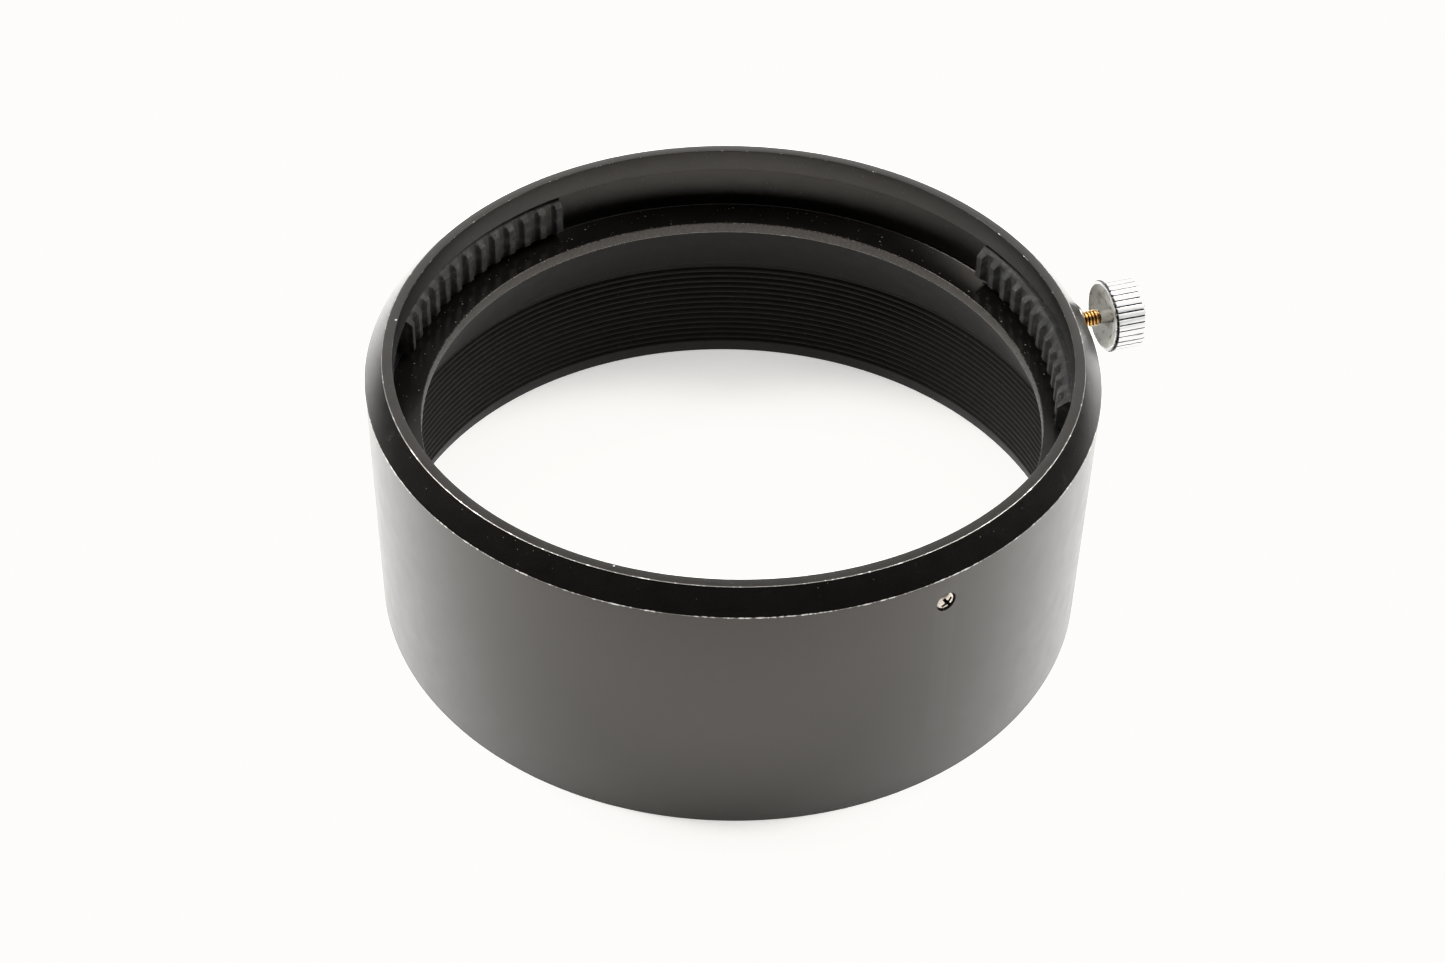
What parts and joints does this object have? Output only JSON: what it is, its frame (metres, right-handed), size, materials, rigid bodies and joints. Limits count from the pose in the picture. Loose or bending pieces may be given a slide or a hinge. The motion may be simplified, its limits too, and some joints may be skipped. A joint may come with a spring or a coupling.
{
  "type": "lens hood",
  "caption": "Turned black metal lens hood that slips over a lens barrel and clamps it between ribbed inner pads with a knurled side thumbscrew.",
  "frame": {"origin": "on the optical axis, in the plane of the front rim that the hood stands on", "axes": "+Z along the optical axis from the front rim towards the lens end; +X outwards along the thumbscrew"},
  "size_m": [0.101, 0.092, 0.037],
  "materials": {
    "anodised_black": "satin black anodised, worn on its edges",
    "pad_rubber": "dull black moulded",
    "bush_chrome": "polished plate",
    "screw_nickel": "bright nickel plate",
    "plate_zinc": "zinc plate",
    "leaf_steel": "blackened",
    "foot_brass": "turned",
    "stud_brass": "bright threaded",
    "head_chrome": "bright chrome, straight knurl"
  },
  "bodies": {
    "ring": {"hood_barrel": "anodised_black", "fixed_pad_left": "pad_rubber", "fixed_pad_right": "pad_rubber", "screw_bush": "bush_chrome", "anchor_screw": "screw_nickel", "anchor_nut_plate": "plate_zinc"},
    "leaf": {"spring_leaf": "leaf_steel", "clamp_pad": "pad_rubber"},
    "foot": {"pressure_foot": "foot_brass"},
    "thumbscrew": {"thumbscrew_stud": "stud_brass", "thumbscrew_head": "head_chrome"}
  },
  "joints": [
    {"name": "screw_travel", "type": "slide", "parent": "ring", "child": "foot", "axis": [-1, 0, 0], "range_m": [0, 0.003]},
    {"name": "screw_spin", "type": "hinge", "parent": "foot", "child": "thumbscrew", "pos_m": [0.0509, 0, 0.03045], "axis": [-1, 0, 0], "range_deg": [0, 2401]},
    {"name": "leaf_swing", "type": "hinge", "parent": "ring", "child": "leaf", "pos_m": [0.01118, -0.04203, 0.03045], "axis": [0, 0, 1], "range_deg": [0, 4.03]}
  ],
  "couplings": [
    {"joint": "screw_spin", "follows": "screw_travel", "rad_per_m": 13963},
    {"joint": "leaf_swing", "follows": "screw_travel", "rad_per_m": 23.433}
  ]
}
